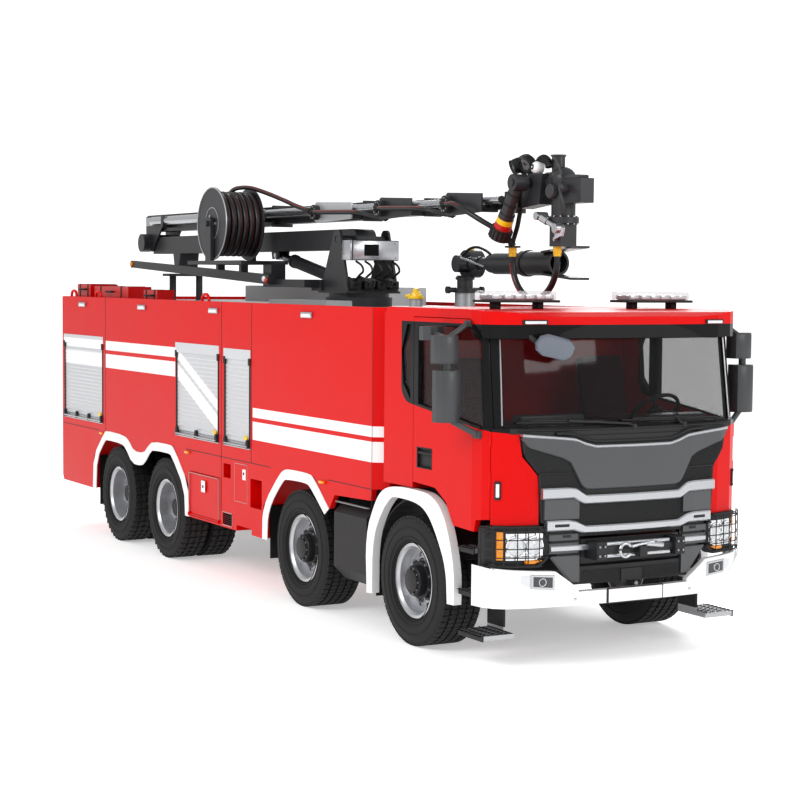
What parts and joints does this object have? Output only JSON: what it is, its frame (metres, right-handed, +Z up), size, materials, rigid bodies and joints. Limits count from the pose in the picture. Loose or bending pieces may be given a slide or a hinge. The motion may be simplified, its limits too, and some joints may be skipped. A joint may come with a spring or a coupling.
{
  "type": "fire truck",
  "caption": "Four-axle fire truck with a hollow cab, shutter-sided body, folding telescopic roof boom with a hose reel, and a roof monitor.",
  "frame": {"origin": "on the ground under the middle of the truck's overall box", "axes": "+X forward, +Y to the truck's left, +Z up"},
  "size_m": [10.1, 3.06, 4.0281],
  "materials": {
    "red_paint": "gloss",
    "white_paint": "gloss",
    "boom_paint": "satin",
    "frame_paint": "satin",
    "rim_silver": "satin",
    "tyre": "matte",
    "pane": "gloss",
    "black_plastic": "matte",
    "dark_panel": "satin",
    "lamp_glass": "gloss",
    "shutter_metal": "satin",
    "tread_metal": "satin",
    "rod_steel": "polished",
    "cast_grey": "matte",
    "hose_rubber": "matte"
  },
  "bodies": {
    "chassis": {"chassis_frame": "frame_paint", "engine_block": "cast_grey", "axles": "frame_paint", "cab_shell": "red_paint", "cab_glass": "pane", "cab_interior": "black_plastic", "front_panel": "dark_panel", "lamps": "lamp_glass", "bumper": "white_paint", "cab_steps": "tread_metal", "body_walls": "red_paint", "body_deck": "tread_metal", "body_skirts": "red_paint", "shutters": "shutter_metal", "white_trims": "white_paint", "mudguards": "black_plastic", "side_boxes": "black_plastic", "roof_gear": "tread_metal"},
    "knuckle_1r": {"knuckle_1r": "cast_grey"},
    "wheel_1r": {"rim_1r": "rim_silver", "tyre_1r": "tyre"},
    "knuckle_1l": {"knuckle_1l": "cast_grey"},
    "wheel_1l": {"rim_1l": "rim_silver", "tyre_1l": "tyre"},
    "knuckle_2r": {"knuckle_2r": "cast_grey"},
    "wheel_2r": {"rim_2r": "rim_silver", "tyre_2r": "tyre"},
    "knuckle_2l": {"knuckle_2l": "cast_grey"},
    "wheel_2l": {"rim_2l": "rim_silver", "tyre_2l": "tyre"},
    "wheel_3r": {"rim_3r": "rim_silver", "tyre_3r": "tyre"},
    "wheel_3l": {"rim_3l": "rim_silver", "tyre_3l": "tyre"},
    "wheel_4r": {"rim_4r": "rim_silver", "tyre_4r": "tyre"},
    "wheel_4l": {"rim_4l": "rim_silver", "tyre_4l": "tyre"},
    "door_r": {"door_r": "red_paint", "door_glass_r": "pane", "mirror_r": "black_plastic"},
    "flap_r": {"flap_r": "red_paint"},
    "door_l": {"door_l": "red_paint", "door_glass_l": "pane", "mirror_l": "black_plastic"},
    "flap_l": {"flap_l": "red_paint"},
    "turret": {"turret": "boom_paint", "reel_frame": "boom_paint", "hose_reel": "hose_rubber"},
    "lower_boom": {"lower_boom": "boom_paint"},
    "lift_barrel": {"lift_barrel": "boom_paint"},
    "lift_rod": {"lift_rod": "rod_steel"},
    "upper_boom": {"upper_boom": "boom_paint"},
    "boom_section_2": {"boom_section_2": "boom_paint"},
    "boom_section_3": {"boom_section_3": "boom_paint"},
    "boom_section_4": {"boom_section_4": "boom_paint"},
    "boom_head": {"boom_head": "boom_paint"},
    "boom_nozzle": {"boom_nozzle": "boom_paint"},
    "monitor_base": {"monitor_base": "boom_paint"},
    "monitor_barrel": {"monitor_barrel": "boom_paint"}
  },
  "joints": [
    {"name": "steer_1r", "type": "hinge", "parent": "chassis", "child": "knuckle_1r", "pos_m": [3.58, -0.95, 0.53], "axis": [0, 0, 1], "range_deg": [-30, 30]},
    {"name": "spin_1r", "type": "hinge", "parent": "knuckle_1r", "child": "wheel_1r", "pos_m": [3.58, -1.0475, 0.53], "axis": [0, 1, 0], "continuous": true},
    {"name": "steer_1l", "type": "hinge", "parent": "chassis", "child": "knuckle_1l", "pos_m": [3.58, 0.95, 0.53], "axis": [0, 0, 1], "range_deg": [-30, 30]},
    {"name": "spin_1l", "type": "hinge", "parent": "knuckle_1l", "child": "wheel_1l", "pos_m": [3.58, 1.0475, 0.53], "axis": [0, 1, 0], "continuous": true},
    {"name": "steer_2r", "type": "hinge", "parent": "chassis", "child": "knuckle_2r", "pos_m": [1.574, -0.95, 0.53], "axis": [0, 0, 1], "range_deg": [-20, 20]},
    {"name": "spin_2r", "type": "hinge", "parent": "knuckle_2r", "child": "wheel_2r", "pos_m": [1.574, -1.0475, 0.53], "axis": [0, 1, 0], "continuous": true},
    {"name": "steer_2l", "type": "hinge", "parent": "chassis", "child": "knuckle_2l", "pos_m": [1.574, 0.95, 0.53], "axis": [0, 0, 1], "range_deg": [-20, 20]},
    {"name": "spin_2l", "type": "hinge", "parent": "knuckle_2l", "child": "wheel_2l", "pos_m": [1.574, 1.0475, 0.53], "axis": [0, 1, 0], "continuous": true},
    {"name": "spin_3r", "type": "hinge", "parent": "chassis", "child": "wheel_3r", "pos_m": [-1.665, -0.925, 0.53], "axis": [0, 1, 0], "continuous": true},
    {"name": "spin_3l", "type": "hinge", "parent": "chassis", "child": "wheel_3l", "pos_m": [-1.665, 0.925, 0.53], "axis": [0, 1, 0], "continuous": true},
    {"name": "spin_4r", "type": "hinge", "parent": "chassis", "child": "wheel_4r", "pos_m": [-3.079, -0.925, 0.53], "axis": [0, 1, 0], "continuous": true},
    {"name": "spin_4l", "type": "hinge", "parent": "chassis", "child": "wheel_4l", "pos_m": [-3.079, 0.925, 0.53], "axis": [0, 1, 0], "continuous": true},
    {"name": "door_r_swing", "type": "hinge", "parent": "chassis", "child": "door_r", "pos_m": [4.668, -1.171, 1.6], "axis": [0, 0, 1], "range_deg": [0, 70]},
    {"name": "flap_r_drop", "type": "hinge", "parent": "chassis", "child": "flap_r", "pos_m": [-0.585, -1.254, 0.555], "axis": [1, 0, 0], "range_deg": [0, 95]},
    {"name": "door_l_swing", "type": "hinge", "parent": "chassis", "child": "door_l", "pos_m": [4.668, 1.171, 1.6], "axis": [0, 0, -1], "range_deg": [0, 70]},
    {"name": "flap_l_drop", "type": "hinge", "parent": "chassis", "child": "flap_l", "pos_m": [-0.585, 1.254, 0.555], "axis": [-1, 0, 0], "range_deg": [0, 95]},
    {"name": "slew", "type": "hinge", "parent": "chassis", "child": "turret", "pos_m": [0.35, 0, 2.82], "axis": [0, 0, 1], "range_deg": [-135, 135]},
    {"name": "lift", "type": "hinge", "parent": "turret", "child": "lower_boom", "pos_m": [0.4, 0, 3.358], "axis": [0, 1, 0], "range_deg": [0, 75]},
    {"name": "lift_barrel_turn", "type": "hinge", "parent": "turret", "child": "lift_barrel", "pos_m": [0.13, 0, 2.925], "axis": [0, 1, 0], "range_deg": [0, 72]},
    {"name": "lift_rod_slide", "type": "slide", "parent": "lift_barrel", "child": "lift_rod", "axis": [-0.9836, 0, 0.1805], "range_m": [0, 0.614]},
    {"name": "fold", "type": "hinge", "parent": "lower_boom", "child": "upper_boom", "pos_m": [-4.88, 0, 3.39], "axis": [0, -1, 0], "range_deg": [0, 150]},
    {"name": "extend_2", "type": "slide", "parent": "upper_boom", "child": "boom_section_2", "axis": [1, 0, 0], "range_m": [0, 1.8]},
    {"name": "extend_3", "type": "slide", "parent": "boom_section_2", "child": "boom_section_3", "axis": [1, 0, 0], "range_m": [0, 1.8]},
    {"name": "extend_4", "type": "slide", "parent": "boom_section_3", "child": "boom_section_4", "axis": [1, 0, 0], "range_m": [0, 1.8]},
    {"name": "head_tilt", "type": "hinge", "parent": "boom_section_4", "child": "boom_head", "pos_m": [3.29, 0, 3.63], "axis": [0, -1, 0], "range_deg": [0, 60]},
    {"name": "nozzle_tilt", "type": "hinge", "parent": "boom_head", "child": "boom_nozzle", "pos_m": [3.48, -0.175, 3.78], "axis": [0, -1, 0], "range_deg": [0, 150]},
    {"name": "monitor_pan", "type": "hinge", "parent": "chassis", "child": "monitor_base", "pos_m": [1.622, 0.45, 2.85], "axis": [0, 0, 1], "range_deg": [-130, 170]},
    {"name": "monitor_tilt", "type": "hinge", "parent": "monitor_base", "child": "monitor_barrel", "pos_m": [1.622, 0.45, 3.12], "axis": [0, -1, 0], "range_deg": [-5, 75]}
  ],
  "couplings": [
    {"joint": "steer_1l", "follows": "steer_1r", "ratio": 1},
    {"joint": "steer_2r", "follows": "steer_1r", "ratio": 0.65},
    {"joint": "steer_2l", "follows": "steer_1r", "ratio": 0.65},
    {"joint": "lift_barrel_turn", "follows": "lift", "ratio": 0.9409},
    {"joint": "lift_rod_slide", "follows": "lift", "m_per_rad": 0.4614},
    {"joint": "fold", "follows": "lift", "ratio": 2},
    {"joint": "extend_3", "follows": "extend_2", "ratio": 1},
    {"joint": "extend_4", "follows": "extend_2", "ratio": 1}
  ]
}
